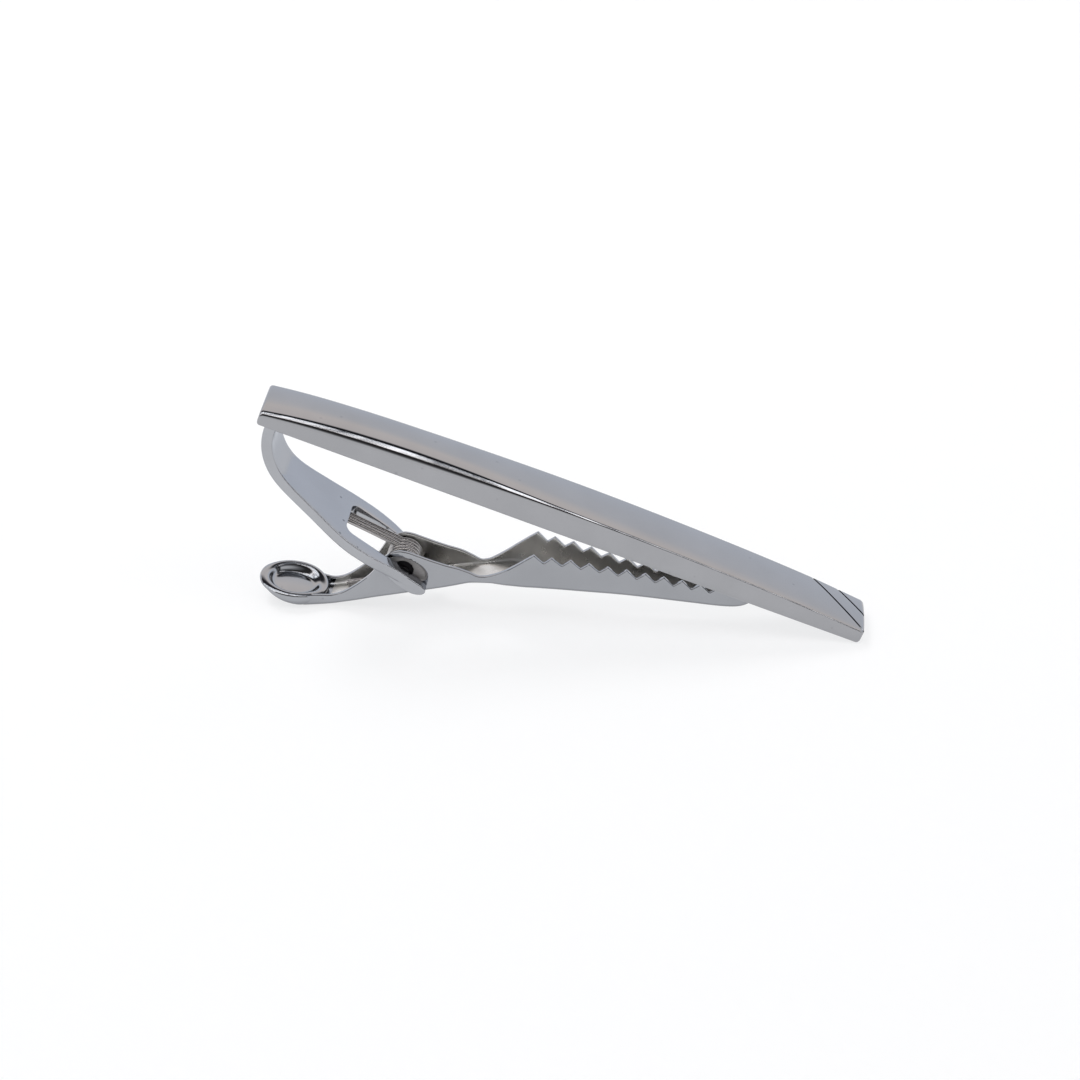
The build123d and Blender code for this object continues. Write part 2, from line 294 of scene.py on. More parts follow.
def make_bar():
    rings = []
    E0, E1 = 0.30, 0.42
    for a in (0, 18, 36, 54, 72):
        s, c = math.sin(math.radians(a)), math.cos(math.radians(a))
        rings.append(bar_ring(E0 * (1 - c), E0 * (1 - s) * 0.9, E0 * (1 - s), E0 * (1 - s) * 0.55))
    for u in np.concatenate([np.linspace(E0, 54, 190), np.linspace(54.1, 60 - E1, 60)]):
        rings.append(bar_ring(float(u), 0, 0, 0))
    for a in (72, 54, 36, 18, 0):
        s = math.sin(math.radians(a))
        rings.append(bar_ring(60 - E1 * (1 - math.cos(math.radians(a))), E1 * (1 - s) * 1.1, E1 * (1 - s) * 0.9, E1 * (1 - s) * 0.30))
    bm = loft(rings)
    tidy(bm)
    # diamond-cut facet over the far corner of the tip, with two engraved lines
    a2, b2 = np.array([54.45, 3.0]), np.array([60.0, -2.75])
    d2 = (b2 - a2) / np.linalg.norm(b2 - a2)
    n2 = np.array([-d2[1], d2[0]])
    if n2 @ (np.array([60.0, 3.0]) - a2) < 0:
        n2 = -n2
    origin = P(a2[0], 0, a2[1])
    normal = (P(n2[0], 0, n2[1]) - P(0, 0, 0)).normalized()
    lines = (0.0, 1.95)
    G = 0.12
    for off in lines:
        for g in (-G, 0.0, G):
            bmesh.ops.bisect_plane(bm, geom=bm.verts[:] + bm.edges[:] + bm.faces[:],
                                   plane_co=origin + normal * (off + g), plane_no=normal, dist=1e-5)
    along_v = Vector((ST, 0, CT))
    for v in bm.verts:
        d = (v.co - origin).dot(normal)
        if d < -G - 0.001:
            continue
        rel = v.co - P(0, 0, 0)
        u = rel.dot(Vector((CT, 0, -ST)))
        h = rel.dot(along_v)
        if u < 52:
            continue
        on_top = step01(face_h(u) - 0.75, face_h(u) - 0.45, h)
        drop = 0.030 * max(0.0, d)
        for off in lines:
            drop += 0.075 * max(0.0, 1 - abs(d - off) / G)
        v.co -= along_v * drop * on_top
    for f in bm.faces:
        c = f.calc_center_median()
        d = (c - origin).dot(normal)
        rel = c - P(0, 0, 0)
        u, h = rel.dot(Vector((CT, 0, -ST))), rel.dot(along_v)
        f.material_index = 0
        if u > 52 and h > face_h(u) - 0.62 and f.normal.dot(along_v) > 0.3:
            if any(abs(d - off) < G for off in lines):
                # slot 2: the cut lines, with painted glint
                f.material_index = 2
            elif d > 0:
                # slot 1: the facet, coloured darker than the bar as painted shade
                f.material_index = 1
    return as_object("bar_polished", bm)


# ------------------------------------------------------------------ the bracket
STRIP_T = 1.08
STRIP_IN = [(1.92, 0.10), (1.93, -0.9), (2.22, -2.2), (2.95, -3.50),
            (3.95, -4.50), (5.0, -5.16), (6.0, -5.62), (7.0, -6.02),
            (8.0, -6.40), (9.0, -6.79), (10.0, -7.17), (11.0, -7.53),
            (12.0, -7.87), (13.0, -8.17), (14.0, -8.46), (15.0, -8.76),
            (16.0, -9.06), (17.0, -9.42), (18.2, -9.85)]
STRIP_HALF = [(0.0, 2.50), (2.5, 2.52), (4.2, 2.56), (5.5, 2.74), (7.0, 3.08),
              (8.5, 3.46), (10.0, 3.86), (11.2, 4.12), (12.4, 4.24),
              (13.6, 4.22), (14.8, 4.06), (15.8, 3.80), (16.8, 3.46),
              (17.6, 3.26), (18.4, 3.20)]
EAR = [(14.5, -9.02), (16.0, -9.30), (17.2, -9.66), (18.2, -9.90),
       (19.2, -10.16), (19.95, -10.42), (20.28, -10.74), (20.22, -11.08),
       (19.85, -11.34), (19.2, -11.48), (18.5, -11.42), (17.7, -11.20),
       (16.6, -10.74), (15.4, -10.20), (14.2, -9.66)]
strip_half = smooth_curve(STRIP_HALF)


def make_bracket():
    pts = np.array(STRIP_IN)
    s = np.concatenate([[0], np.cumsum(np.linalg.norm(np.diff(pts, axis=0), axis=1))])
    fu, fv = smooth_curve(list(zip(s, pts[:, 0]))), smooth_curve(list(zip(s, pts[:, 1])))
    rings = []
    for t in np.linspace(0, s[-1], 150):
        e = 0.02
        u, v = fu(t), fv(t)
        du, dv = fu(min(t + e, s[-1])) - fu(max(t - e, 0)), fv(min(t + e, s[-1])) - fv(max(t - e, 0))
        n = math.hypot(du, dv)
        nu, nv = dv / n, -du / n
        ring = []
        # rounded rectangle: a across the strip, q through its thickness
        ri, ro = 0.13, 0.30
        corner = []
        for sy, q0, r, sq in ((1, 0.0, ri, 1), (1, STRIP_T, ro, -1), (-1, STRIP_T, ro, -1), (-1, 0.0, ri, 1)):
            arc = []
            for k in range(6):
                a = math.pi / 2 * k / 5
                # from the flat face round to the side
                arc.append((sy, -r + r * math.sin(a), q0 + sq * (r - r * math.cos(a))))
            if (sy > 0) == (sq < 0):
                arc = arc[::-1]
            corner += arc
        prev = None
        for sy, inset, q in corner:
            uu, vv = u + nu * q, v + nv * q
            w = strip_half(uu) + inset
            ring.append((uu, vv, sy * w))
        # face points between the corners, so that the broad faces shade smoothly
        full = []
        for k in range(len(ring)):
            a, b = ring[k], ring[(k + 1) % len(ring)]
            full.append(a)
            if abs(a[2] - b[2]) > 1.0:
                for j in range(1, 8):
                    f = j / 8
                    full.append(tuple(a[i] + (b[i] - a[i]) * f for i in range(3)))
            elif k in (5, 17):
                full.append(tuple((a[i] + b[i]) / 2 for i in range(3)))
        rings.append([P(*p) for p in full])
    bm = loft(rings)
    tidy(bm)
    ob = as_object("bracket_strip", bm)
    ear_line = closed_spline(EAR, 72)
    for y0, y1 in ((-3.20, -2.15), (2.15, 3.20)):
        combine(ob, plate("ear", ear_line, y0, y1, 0.17, 4), "UNION")
    # window with round corners at its left end, open to the right
    half, r = 2.45, 0.85
    outline = []
    for k in range(9):
        a = math.pi / 2 * k / 8
        outline.append((11.15 + r - r * math.sin(a) if False else 11.15 + r * (1 - math.cos(a)), half - r + r * math.sin(a)))
    outline += [(15.2, half), (16.0, 2.34), (16.8, 2.15), (21.0, 2.15)]
    loop = outline + [(u, -y) for u, y in outline[::-1]]
    bm = loft([[P(u, -14.0, y) for u, y in loop], [P(u, -4.5, y) for u, y in loop]])
    tidy(bm)
    combine(ob, as_object("window", bm), "DIFFERENCE")
    # relief under the window's end where the spring legs bear
    relief = [(9.4, -8.10), (9.4, -9.6), (12.0, -9.6), (12.0, -8.12), (11.0, -8.16), (10.2, -8.14)]
    combine(ob, plate("relief", relief, 1.23 - 0.97, 1.23 + 0.97, 0.02, 1), "DIFFERENCE")
    return ob


# ------------------------------------------------------------------ the lever with its jaw
SHEET = 0.45
UNDER = [(4.80, -17.02), (5.3, -17.12), (6.0, -17.28), (7.0, -17.44), (8.2, -17.54),
         (9.4, -17.50), (10.5, -17.30), (11.5, -17.00), (12.4, -16.60),
         (13.7, -15.80), (15.7, -14.42), (17.7, -13.15), (20.7, -11.24),
         (22.7, -9.97), (24.3, -8.98), (25.2, -8.55), (26.4, -8.02),
         (27.9, -7.50), (31.2, -6.62), (35.5, -5.55), (39.9, -4.42),
         (44.3, -3.30), (47.4, -2.44), (48.7, -1.90), (49.5, -1.35)]
RIM = [(10.0, -16.12), (10.6, -15.97), (11.2, -15.84), (11.9, -15.65), (12.6, -15.23),
       (13.2, -14.62), (13.8, -13.78), (14.45, -12.70), (14.95, -11.64),
       (15.20, -10.70), (15.36, -9.90), (15.70, -9.15), (16.25, -8.55),
       (16.9, -8.22), (17.8, -8.10), (19.4, -8.10), (21.0, -8.05),
       (22.6, -7.92), (23.6, -7.98), (24.4, -8.08), (25.0, -7.84),
       (25.7, -7.20), (26.4, -6.40), (27.2, -5.30), (27.9, -4.28)]
TEETH = [(28.51, -3.44), (29.66, -3.98), (30.17, -3.20), (31.35, -3.70),
         (31.95, -2.86), (33.12, -3.42), (33.69, -2.64), (34.90, -3.18),
         (35.50, -2.40), (36.66, -2.96), (37.26, -2.10), (38.42, -2.68),
         (39.05, -1.85), (40.18, -2.38), (40.80, -1.56), (41.93, -2.10),
         (42.54, -1.27), (43.62, -1.80), (44.28, -0.98), (45.35, -1.50),
         (46.00, -0.62), (46.95, -1.08), (47.60, -0.24), (48.40, -0.62),
         (49.20, -0.70)]
LEVER_HALF = [(10.0, 2.48), (10.4, 2.33), (10.8, 2.18), (11.25, 2.05), (11.75, 1.94), (12.3, 1.88), (13.0, 1.86), (13.8, 1.89),
              (14.6, 1.95), (15.4, 2.0), (21.5, 2.0), (22.6, 1.94),
              (23.6, 1.84), (24.5, 1.79), (25.1, 1.86), (25.8, 2.06), (26.5, 2.26),
              (27.3, 2.40), (28.4, 2.42), (30.2, 2.21), (32.0, 1.98), (33.8, 1.77),
              (35.5, 1.57), (37.0, 1.41), (38.5, 1.30), (42.0, 1.16), (46.0, 1.04),
              (48.1, 0.96), (48.75, 0.80), (49.2, 0.55), (49.45, 0.28)]
under_v = pchip(UNDER)
rim_low = pchip(RIM)
lever_half = pchip(LEVER_HALF)
TOOTH_LINE = [RIM[-1]] + TEETH


def rim_v(u):
    if u <= RIM[-1][0]:
        return rim_low(u)
    xs = [p[0] for p in TOOTH_LINE]
    ys = [p[1] for p in TOOTH_LINE]
    r = 0.05
    return float(np.mean([np.interp(u + d, xs, ys) for d in (-r, -r / 2, 0, r / 2, r)]))


CORE = (17.66, -10.08, 1.02)


def recess(u, v):
    """Depth of the pressed recess and of the bearing's core at a point of the wall."""
    du, dv = u - 18.0, v + 9.75
    c, s = math.cos(math.radians(-6)), math.sin(math.radians(-6))
    e = math.hypot((du * c + dv * s) / 2.10, (-du * s + dv * c) / 1.12)
    depth = 0.17 * (1 - step01(0.84, 1.0, e))
    k = math.hypot(u - CORE[0], v - CORE[1]) / CORE[2]
    return depth + 0.10 * (1 - step01(0.88, 1.0, k))


def lever_ring(u):
    w, vb, vr = lever_half(u), under_v(u), rim_v(u)
    t = min(SHEET, w * 0.55)
    slope = (under_v(u + 0.05) - under_v(u - 0.05)) / 0.1
    vf = vb + SHEET * math.hypot(1, slope)
    shut = step01(48.15, 48.45, u)
    vf = vf + (vr - 0.04 - vf) * shut
    vf = min(vf, vr - 0.04)
    R = min(0.50, w * 0.45, (vr - vb) * 0.42)
    ri = min(0.28, (w - t) * 0.5, max((vr - vf) * 0.45, 0.01))
    rr = min(0.10, t * 0.3, (vr - vb) * 0.1)
    out = []
    K = 44
    for k in range(K + 1):                       # near outer wall, from the rim down
        v = (vr - rr) + ((vb + R) - (vr - rr)) * k / K
        out.append((-w + recess(u, v), v))
    for k in range(1, 9):
        a = math.pi / 2 * k / 8
        out.append((-w + R - R * math.cos(a), vb + R - R * math.sin(a)))
    for k in range(1, 6):
        out.append((-(w - R) + 2 * (w - R) * k / 6, vb))
    for k in range(8, 0, -1):
        a = math.pi / 2 * k / 8
        out.append((w - R + R * math.cos(a), vb + R - R * math.sin(a)))
    for k in range(K, -1, -1):
        v = (vr - rr) + ((vb + R) - (vr - rr)) * k / K
        out.append((w - recess(u, v), v))
    h = rr * 0.3
    out += [(w - h, vr - h), (w - rr, vr), (w - t + rr, vr), (w - t + h, vr - h)]
    a1 = vf + ri
    KI = 10
    for k in range(KI + 1):
        out.append((w - t, (vr - rr) + (a1 - (vr - rr)) * k / KI if vr - rr > a1 else vr - rr - 0.001 * k))
    for k in range(1, 6):
        a = math.pi / 2 * k / 5
        out.append((w - t - ri + ri * math.cos(a), vf + ri - ri * math.sin(a)))
    for k in range(1, 6):
        out.append(((w - t - ri) - 2 * (w - t - ri) * k / 6, vf))
    for k in range(5, 0, -1):
        a = math.pi / 2 * k / 5
        out.append((-(w - t - ri + ri * math.cos(a)), vf + ri - ri * math.sin(a)))
    for k in range(KI, -1, -1):
        out.append((-(w - t), (vr - rr) + (a1 - (vr - rr)) * k / KI if vr - rr > a1 else vr - rr - 0.001 * k))
    out += [(-(w - t + h), vr - h), (-(w - t + rr), vr), (-(w - rr), vr), (-(w - h), vr - h)]
    return [P(u, v, y) for y, v in out]


PAD_U, PAD_A, PAD_B = 8.45, 3.30, 2.90


def pad_top(u):
    return -16.265 + (u - 8.40) * math.tan(math.radians(10.7))


def make_lever():
    us = set(np.round(np.linspace(10.0, 15.0, 76), 4))
    us |= set(np.round(np.linspace(15.0, 20.6, 120), 4))
    us |= set(np.round(np.linspace(20.6, 28.0, 90), 4))
    for (a, _), (b, _) in zip(TOOTH_LINE[:-1], TOOTH_LINE[1:]):
        us |= {round(a + (b - a) * f, 4) for f in (0.0, 0.06, 0.12, 0.3, 0.5, 0.7, 0.88, 0.94)}
    us |= set(np.round(np.linspace(48.4, 49.4, 14), 4))
    us = sorted(us)
    keep = [us[0]]
    for u in us[1:]:
        if u - keep[-1] > 0.012:
            keep.append(u)
    bm = loft([lever_ring(float(u)) for u in keep])
    tidy(bm)
    ob = as_object("lever_channel", bm)
    # thumb pad: oval with a raised rim, a steep inner wall and a shallow dish
    prof = [(0.0, -0.60), (0.15, -0.602), (0.30, -0.61), (0.44, -0.625), (0.52, -0.64), (0.575, -0.65),
            (0.615, -0.63), (0.65, -0.56), (0.685, -0.43), (0.72, -0.28), (0.755, -0.13), (0.79, -0.04),
            (0.83, 0.0), (0.87, 0.01), (0.91, -0.01), (0.955, -0.06), (0.985, -0.15)]
    side = [(1.0, 0.22), (1.005, 0.40), (1.0, 0.55), (0.985, 0.70), (0.955, 0.83), (0.90, 0.93),
            (0.82, 0.985), (0.70, 1.0), (0.45, 1.0), (0.2, 1.0), (0.0, 1.0)]
    N = 120
    bm = bmesh.new()
    rings = []
    for sc, dn in prof:
        ring = []
        for k in range(N):
            a = 2 * math.pi * k / N
            u, y = PAD_U - PAD_A * sc * math.cos(a), PAD_B * sc * math.sin(a)
            low = 0.26 * max(0.0, -math.cos(a)) ** 3
            vt = pad_top(u) + 0.12 + (0.085 * y - low) * step01(0.60, 0.82, sc)
            thick = vt - under_v(max(u, 4.8))
            dd = dn * min(1.0, thick / 0.95) if dn < 0 else dn
            ring.append(P(u, vt + dd, y))
        rings.append(ring)
    for sc, f in side:
        ring = []
        for k in range(N):
            a = 2 * math.pi * k / N
            u, y = PAD_U - PAD_A * sc * math.cos(a), PAD_B * sc * math.sin(a)
            low = 0.26 * max(0.0, -math.cos(a)) ** 3
            vt, vb = pad_top(u) + 0.12 + 0.085 * y - low, under_v(max(u, 4.8))
            vb = min(vb, vt - 0.60)
            ring.append(P(u, vt + (vb - vt) * f, y))
        rings.append(ring)
    vr = [[bm.verts.new(p) for p in r] for r in rings[1:-1]]
    c0 = bm.verts.new(sum(rings[0], Vector()) / N)
    c1 = bm.verts.new(sum(rings[-1], Vector()) / N)
    for a, b in zip(vr[:-1], vr[1:]):
        for i in range(N):
            bm.faces.new((a[i], a[(i + 1) % N], b[(i + 1) % N], b[i]))
    for i in range(N):
        bm.faces.new((c0, vr[0][(i + 1) % N], vr[0][i]))
        bm.faces.new((c1, vr[-1][i], vr[-1][(i + 1) % N]))
    tidy(bm)
    combine(ob, as_object("pad", bm), "UNION")
    # bearing holes
    ang = np.linspace(0, 2 * math.pi, 40, endpoint=False)
    bm = loft([[P(17.75 + 0.54 * math.cos(a), -10.30 + 0.54 * math.sin(a), y) for a in ang] for y in (-3.0, 3.0)])
    tidy(bm)
    combine(ob, as_object("bearing", bm), "DIFFERENCE")
    ob.name = "lever_with_jaw"
    return ob


def mark_recess(ob):
    """Channel inner faces take a lighter colour as painted light, the recess floor a rougher finish, and the bearing
    core a near-black colour as painted shade.
    """
    for p in ob.data.polygons:
        c = p.center
        rel = Vector(c) * 1000 - P(0, 0, 0)
        u, v = rel.dot(Vector((CT, 0, -ST))), rel.dot(Vector((ST, 0, CT)))
        p.material_index = 0
        if u > 12.2 and abs(c.y * 1000) < lever_half(u) - SHEET + 0.04 and v > under_v(u) + 0.30:
            # the channel's inner faces get a lighter colour as painted light
            p.material_index = 3
        if abs(c.y * 1000) > 1.56 and 15.5 < u < 20.4 and abs(c.y * 1000) < 1.995 and -12 < v < -8.3:
            d = recess(u, v)
            if math.hypot(u - CORE[0], v - CORE[1]) < CORE[2] * 0.97:
                # the ring round the bearing hole is painted near black: painted shade
                p.material_index = 2
            elif d > 0.02:
                p.material_index = 1


# ------------------------------------------------------------------ the spring
WIRE = 0.56
COIL_U, COIL_V, COIL_R, PITCH, TURNS = 17.50, -10.02, 1.45, 0.575, 4.25


def make_spring():
    bm = bmesh.new()
    pts = []
    n = int(TURNS * 56)
    length = PITCH * 4.0
    for k in range(n + 1):
        a = 2 * math.pi * TURNS * k / n
        y = -length / 2 + length * k / n
        ang = math.radians(92) - a
        rr = COIL_R + 0.012 * math.sin(3.1 * a)
        pts.append(P(COIL_U + rr * math.cos(ang), COIL_V + rr * math.sin(ang), y))
    parts = [tube(pts, WIRE / 2, 22)]
    tip_v = -8.16 - WIRE / 2 - 0.01
    for k in range(3):
        y = 0.55 + (k - 1) * WIRE * 0.98
        leg = []
        x0, v0 = COIL_U - 0.90, COIL_V + COIL_R - 0.20
        for j in range(25):
            f = j / 24
            sag = 0.05 * math.sin(math.pi * f) * (1, -0.4, 0.6)[k]
            leg.append(P(x0 + (10.60 - x0) * f, v0 + (tip_v - v0) * f + sag * 0.5, y + 0.68 * f + 0.03 * math.sin(2.2 * f + k)))
        parts.append(tube(leg, WIRE / 2 * 0.985, 22))
    for part in parts:
        me = bpy.data.meshes.new("tmp")
        part.to_mesh(me)
        part.free()
        bm.from_mesh(me)
        bpy.data.meshes.remove(me)
    bmesh.ops.recalc_face_normals(bm, faces=bm.faces)
    return as_object("spring_wound", bm)


# ------------------------------------------------------------------ materials
def nodes_of(name):
    m = bpy.data.materials.new(name)
    m.use_nodes = True
    nt = m.node_tree
    bsdf = nt.nodes["Principled BSDF"]
    return m, nt, bsdf


def metal(name, color, rough=0.06, scratch=0.25, specks=0.0, wave=0.0, tone=0.03,
          scale=1.0, warm=(1.0, 1.0, 1.0), hard=0.2, under=0.0):
    """Bright plated metal: faint tone drift, hair scratches, wiping marks, tiny pits, and painted shade on faces
    turned down.
    """
    m, nt, b = nodes_of(name)
    n, l = nt.nodes, nt.links
    tc = n.new("ShaderNodeTexCoord")
    mp = n.new("ShaderNodeMapping")
    mp.inputs["Rotation"].default_value = (0, TILT, 0)
    mp.inputs["Scale"].default_value = (1000 * scale,) * 3
    l.new(tc.outputs["Object"], mp.inputs["Vector"])
    # slow drift of tone, where the plating is thicker or thinner
    drift = n.new("ShaderNodeTexNoise")
    drift.inputs["Scale"].default_value = 0.22
    drift.inputs["Detail"].default_value = 3
    l.new(mp.outputs["Vector"], drift.inputs["Vector"])
    ramp = n.new("ShaderNodeValToRGB")
    lo = [c * (1 - tone) for c in color]
    hi = [min(1, c * (1 + tone) * w) for c, w in zip(color, warm)]
    ramp.color_ramp.elements[0].position = 0.5 - hard
    ramp.color_ramp.elements[0].color = (*lo, 1)
    ramp.color_ramp.elements[1].position = 0.5 + hard
    ramp.color_ramp.elements[1].color = (*hi, 1)
    l.new(drift.outputs["Fac"], ramp.inputs["Fac"])
    # pits
    pits = n.new("ShaderNodeTexVoronoi")
    pits.inputs["Scale"].default_value = 0.55
    pits.inputs["Randomness"].default_value = 1.0
    l.new(mp.outputs["Vector"], pits.inputs["Vector"])
    pit = n.new("ShaderNodeMapRange")
    pit.inputs["From Min"].default_value = 0.05
    pit.inputs["From Max"].default_value = 0.10
    pit.inputs["To Min"].default_value = specks
    pit.inputs["To Max"].default_value = 0.0
    l.new(pits.outputs["Distance"], pit.inputs["Value"])
    mix = n.new("ShaderNodeMix")
    mix.data_type = "RGBA"
    mix.inputs["B"].default_value = (color[0] * 0.35, color[1] * 0.35, color[2] * 0.37, 1)
    l.new(pit.outputs["Result"], mix.inputs["Factor"])
    l.new(ramp.outputs["Color"], mix.inputs["A"])
    # painted shade: the base colour darkens on faces turned down, up to the strength given by under
    geo = n.new("ShaderNodeNewGeometry")
    sep = n.new("ShaderNodeSeparateXYZ")
    l.new(geo.outputs["Normal"], sep.inputs["Vector"])
    dn = n.new("ShaderNodeMapRange")
    dn.inputs["From Min"].default_value = -0.12
    dn.inputs["From Max"].default_value = -0.90
    dn.inputs["To Min"].default_value = 0.0
    dn.inputs["To Max"].default_value = under
    l.new(sep.outputs["Z"], dn.inputs["Value"])
    down_shade_mix = n.new("ShaderNodeMix")
    down_shade_mix.data_type = "RGBA"
    down_shade_mix.inputs["B"].default_value = (color[0] * 0.22, color[1] * 0.22, color[2] * 0.24, 1)
    l.new(dn.outputs["Result"], down_shade_mix.inputs["Factor"])
    l.new(mix.outputs["Result"], down_shade_mix.inputs["A"])
    l.new(down_shade_mix.outputs["Result"], b.inputs["Base Color"])
    # hair scratches along the piece
    sm = n.new("ShaderNodeMapping")
    sm.inputs["Scale"].default_value = (0.35, 9.0, 9.0)
    l.new(mp.outputs["Vector"], sm.inputs["Vector"])
    hair = n.new("ShaderNodeTexNoise")
    hair.inputs["Scale"].default_value = 1.2
    hair.inputs["Detail"].default_value = 5
    hair.inputs["Roughness"].default_value = 0.7
    l.new(sm.outputs["Vector"], hair.inputs["Vector"])
    smear = n.new("ShaderNodeTexNoise")
    smear.inputs["Scale"].default_value = 0.7
    smear.inputs["Detail"].default_value = 4
    l.new(mp.outputs["Vector"], smear.inputs["Vector"])
    add = n.new("ShaderNodeMath")
    add.operation = "MULTIPLY_ADD"
    l.new(hair.outputs["Fac"], add.inputs[0])
    add.inputs[1].default_value = scratch
    l.new(smear.outputs["Fac"], add.inputs[2])
    rr = n.new("ShaderNodeMapRange")
    rr.inputs["From Min"].default_value = 0.35
    rr.inputs["From Max"].default_value = 0.95
    rr.inputs["To Min"].default_value = rough * 0.55
    rr.inputs["To Max"].default_value = rough * 1.9
    l.new(add.outputs["Value"], rr.inputs["Value"])
    l.new(rr.outputs["Result"], b.inputs["Roughness"])
    b.inputs["Metallic"].default_value = 1.0
    # micro bump: hair scratches and a slow press-tool waviness
    bump = n.new("ShaderNodeBump")
    bump.inputs["Strength"].default_value = 0.05
    bump.inputs["Distance"].default_value = 0.00001
    l.new(hair.outputs["Fac"], bump.inputs["Height"])
    wv = n.new("ShaderNodeTexNoise")
    wv.inputs["Scale"].default_value = 0.30
    wv.inputs["Detail"].default_value = 1
    l.new(mp.outputs["Vector"], wv.inputs["Vector"])
    bump2 = n.new("ShaderNodeBump")
    bump2.inputs["Strength"].default_value = min(1.0, wave)
    bump2.inputs["Distance"].default_value = 0.00004
    l.new(wv.outputs["Fac"], bump2.inputs["Height"])
    l.new(bump.outputs["Normal"], bump2.inputs["Normal"])
    l.new(bump2.outputs["Normal"], b.inputs["Normal"])
    return m


bar_mat = metal("bar_plate", (0.362, 0.366, 0.382), rough=0.06, scratch=0.2, wave=0.06, specks=0.2)
# the facet's darker colour is painted shade; its rougher, scratchier cut is its own finish
facet_painted_shade_mat = metal("facet_plate_painted_shade", (0.215, 0.218, 0.222), rough=0.14, scratch=0.5, wave=0.2)
# under= sets how strongly faces turned down are darkened as painted shade
bracket_mat = metal("bracket_plate", (0.405, 0.415, 0.438), rough=0.12, specks=0.75, wave=0.25, under=0.5)
# plating of the strip darkens at grazing angles
bracket_mat.node_tree.nodes["Principled BSDF"].inputs["Specular Tint"].default_value = (0.74, 0.76, 0.80, 1)
lever_mat = metal("lever_plate", (0.360, 0.370, 0.392), rough=0.10, specks=0.25, wave=0.35, under=0.9)
spring_mat = metal("spring_wire_drawn", (0.42, 0.405, 0.40), rough=0.14, scratch=0.6, wave=0.2, scale=1.6, under=0.5)
pin_mat = metal("pin_drawn", (0.24, 0.24, 0.25), rough=0.25, scratch=0.6, scale=1.4)


def give(ob, mat):
    ob.data.materials.clear()
    ob.data.materials.append(mat)


# the cut lines' bright, high-contrast base colour is painted glint
glint_painted_groove_mat = metal("cut_line_painted_glint", (0.76, 0.80, 0.80), rough=0.13, scratch=0.9, wave=1.0, tone=0.97, scale=11.0, hard=0.04)
# painted light: the channel's inner faces get a lighter, warmer copy of the plating
inside_painted_light_mat = metal("inside_plate_painted_light", (0.66, 0.655, 0.64), rough=0.30, scratch=0.15, wave=0.15)
# painted glint: the cut lines' bright colour is broken into short dashes, and where the noise drops the metallic it
# shows as diffuse glitter
gnt = glint_painted_groove_mat.node_tree
gco = gnt.nodes.new("ShaderNodeTexCoord")
gno = gnt.nodes.new("ShaderNodeTexNoise")
gno.inputs["Scale"].default_value = 1500.0
gno.inputs["Detail"].default_value = 0.0
gnt.links.new(gco.outputs["Object"], gno.inputs["Vector"])
gmr = gnt.nodes.new("ShaderNodeMapRange")
gmr.inputs["From Min"].default_value = 0.50
gmr.inputs["From Max"].default_value = 0.60
gnt.links.new(gno.outputs["Fac"], gmr.inputs["Value"])
gnt.links.new(gmr.outputs["Result"], gnt.nodes["Principled BSDF"].inputs["Metallic"])
recess_mat = metal("recess_plate", (0.40, 0.39, 0.39), rough=0.42, scratch=0.8, wave=0.5)
# painted shade: near-black colour standing for the darkness of the bearing hole
core_painted_shade_mat = metal("core_painted_shade", (0.025, 0.024, 0.027), rough=0.40, scratch=0.8, wave=0.3)

for node, mat in (("spring_tail", spring_mat), ("pivot_pin", pin_mat)):
    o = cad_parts[node]
    for i in range(len(o.material_slots)):
        o.material_slots[i].material = mat


def place(ob, body, node, mats, angle=32.0):
    to_metres(ob, angle)
    for m in mats:
        ob.data.materials.append(m)
    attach(ob, body)
    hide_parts(node)
    return ob


bar = make_bar()
bar.data.materials.clear()
place(bar, "frame", "front_bar", (bar_mat, facet_painted_shade_mat, glint_painted_groove_mat), 24.0)

bracket = make_bracket()
bevel(bracket, 0.05, 2, 40)
bracket.data.materials.clear()
place(bracket, "frame", "bracket", (bracket_mat,))

lever = make_lever()
lever.data.materials.clear()
place(lever, "jaw", "jaw_lever", (lever_mat, recess_mat, core_painted_shade_mat, inside_painted_light_mat))
mark_recess(lever)

spring = make_spring()
spring.data.materials.clear()
place(spring, "frame", "torsion_spring", (spring_mat,), 60.0)

# ------------------------------------------------------------------ floor, light, camera
bm = bmesh.new()
bmesh.ops.create_grid(bm, x_segments=8, y_segments=8, size=3.0)
floor = as_object("floor_sheet", bm)
floor.location.z = -0.00002
fm, fnt, fb = nodes_of("paper_floor")
fn, fl = fnt.nodes, fnt.links
fb.inputs["Base Color"].default_value = (0.205, 0.205, 0.205, 1)
fb.inputs["Roughness"].default_value = 0.9
fb.inputs["Specular IOR Level"].default_value = 0.0
fb.inputs["Emission Color"].default_value = (0.985, 0.99, 1.0, 1)
fb.inputs["Emission Strength"].default_value = 0.775
ftc = fn.new("ShaderNodeTexCoord")
fno = fn.new("ShaderNodeTexNoise")
fno.inputs["Scale"].default_value = 900
fl.new(ftc.outputs["Object"], fno.inputs["Vector"])
fbu = fn.new("ShaderNodeBump")
fbu.inputs["Strength"].default_value = 0.05
fbu.inputs["Distance"].default_value = 0.0001
fl.new(fno.outputs["Fac"], fbu.inputs["Height"])
fl.new(fbu.outputs["Normal"], fb.inputs["Normal"])
give(floor, fm)

